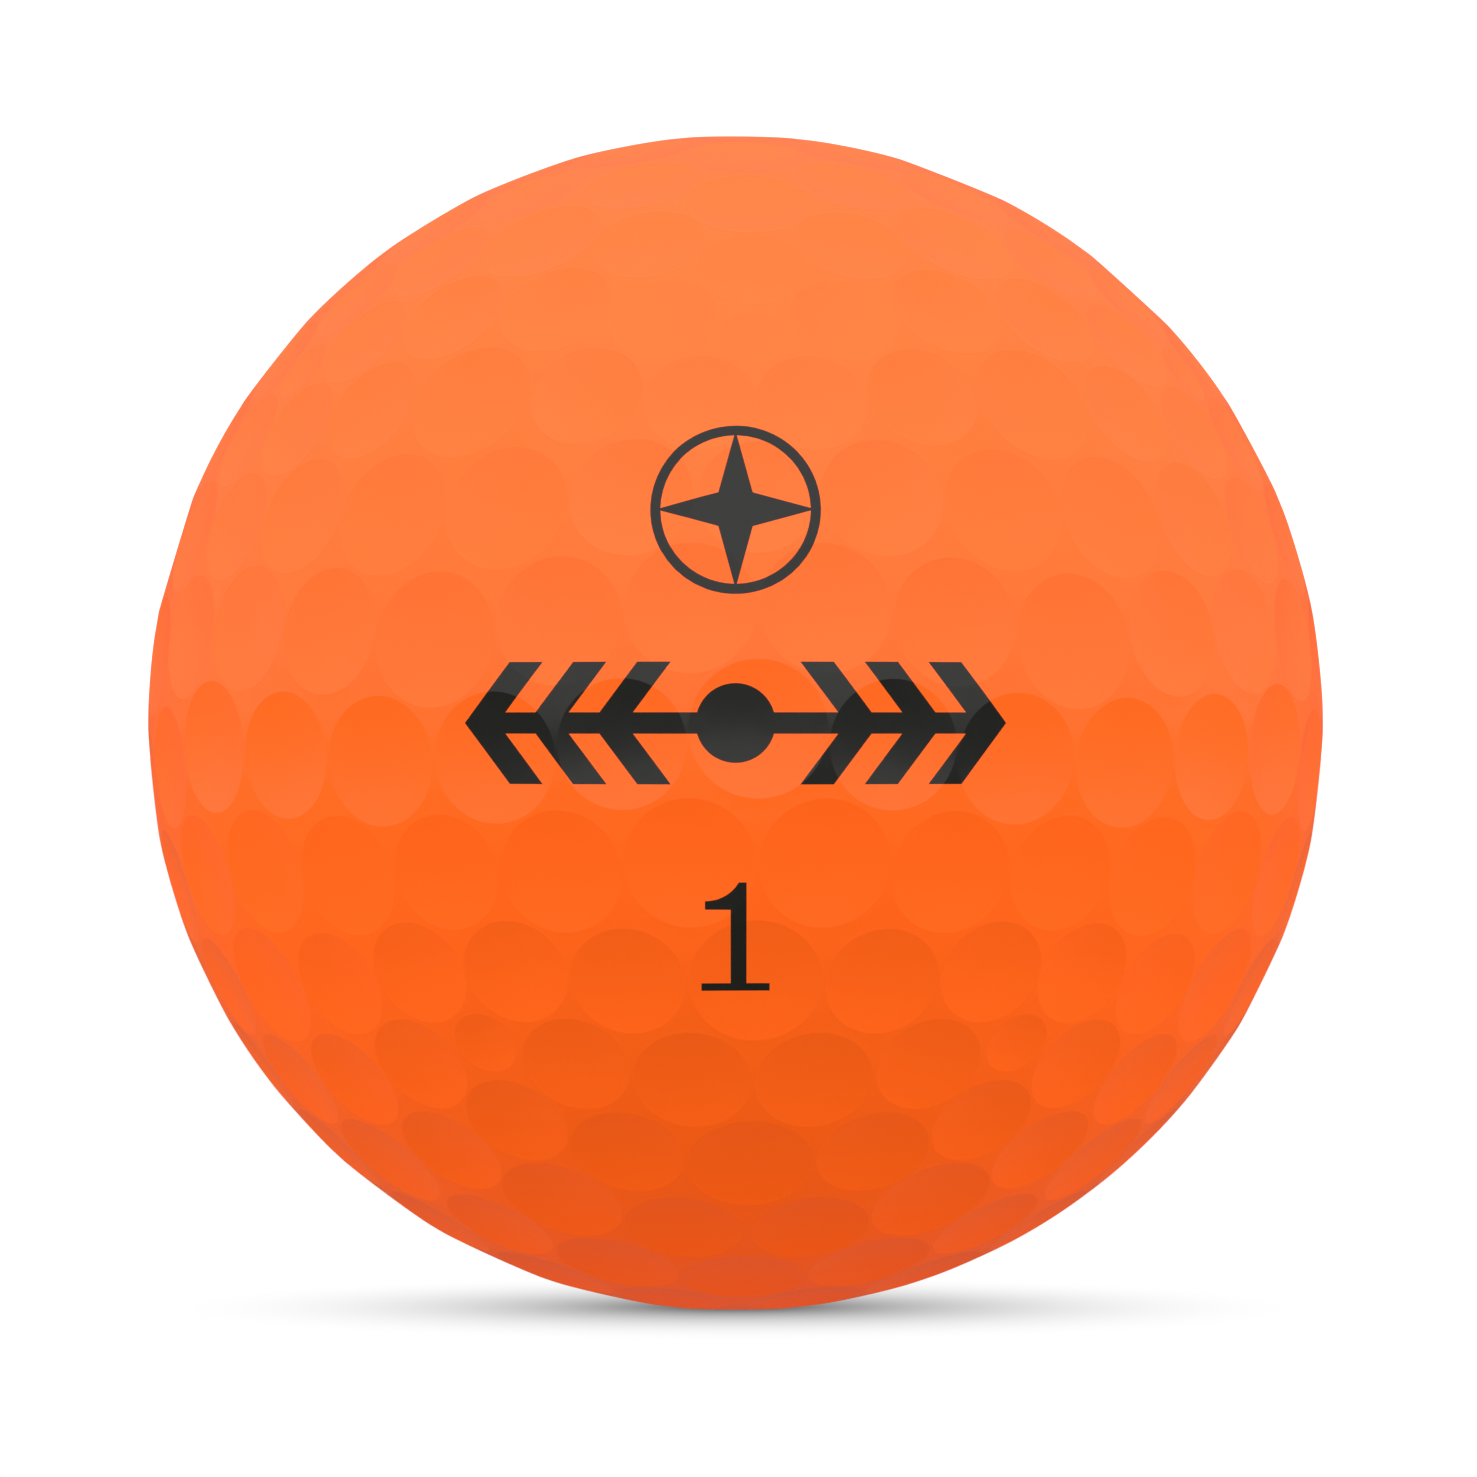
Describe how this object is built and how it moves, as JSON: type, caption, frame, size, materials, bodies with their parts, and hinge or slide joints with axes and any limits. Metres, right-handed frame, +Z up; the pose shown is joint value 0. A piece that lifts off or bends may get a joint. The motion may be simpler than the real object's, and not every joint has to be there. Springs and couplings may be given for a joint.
{
  "type": "golf ball",
  "caption": "Orange dimpled golf ball: rubber core, mantle and thin cover, with black emblem, alignment mark and play number printed on front and back.",
  "frame": {"origin": "the centre of the ball", "axes": "+Z up, -Y out through the middle of the front alignment mark, +X to the right of the front prints; the dimple pattern's six-fold axis leans back 3.7 degrees from +Z"},
  "size_m": [0.0426, 0.0426, 0.0426],
  "materials": {
    "core_rubber": "solid crosslinked polybutadiene rubber, matt",
    "mantle_ionomer": "moulded ionomer, matt",
    "cover_orange": "cast urethane, pigmented orange, satin coat",
    "ink_black": "black pad-printed ink under the clear coat"
  },
  "bodies": {
    "root": {"core": "core_rubber", "mantle": "mantle_ionomer", "cover": "cover_orange", "front_emblem": "ink_black", "front_alignment_mark": "ink_black", "front_number": "ink_black", "back_emblem": "ink_black", "back_alignment_mark": "ink_black", "back_number": "ink_black"}
  },
  "joints": []
}
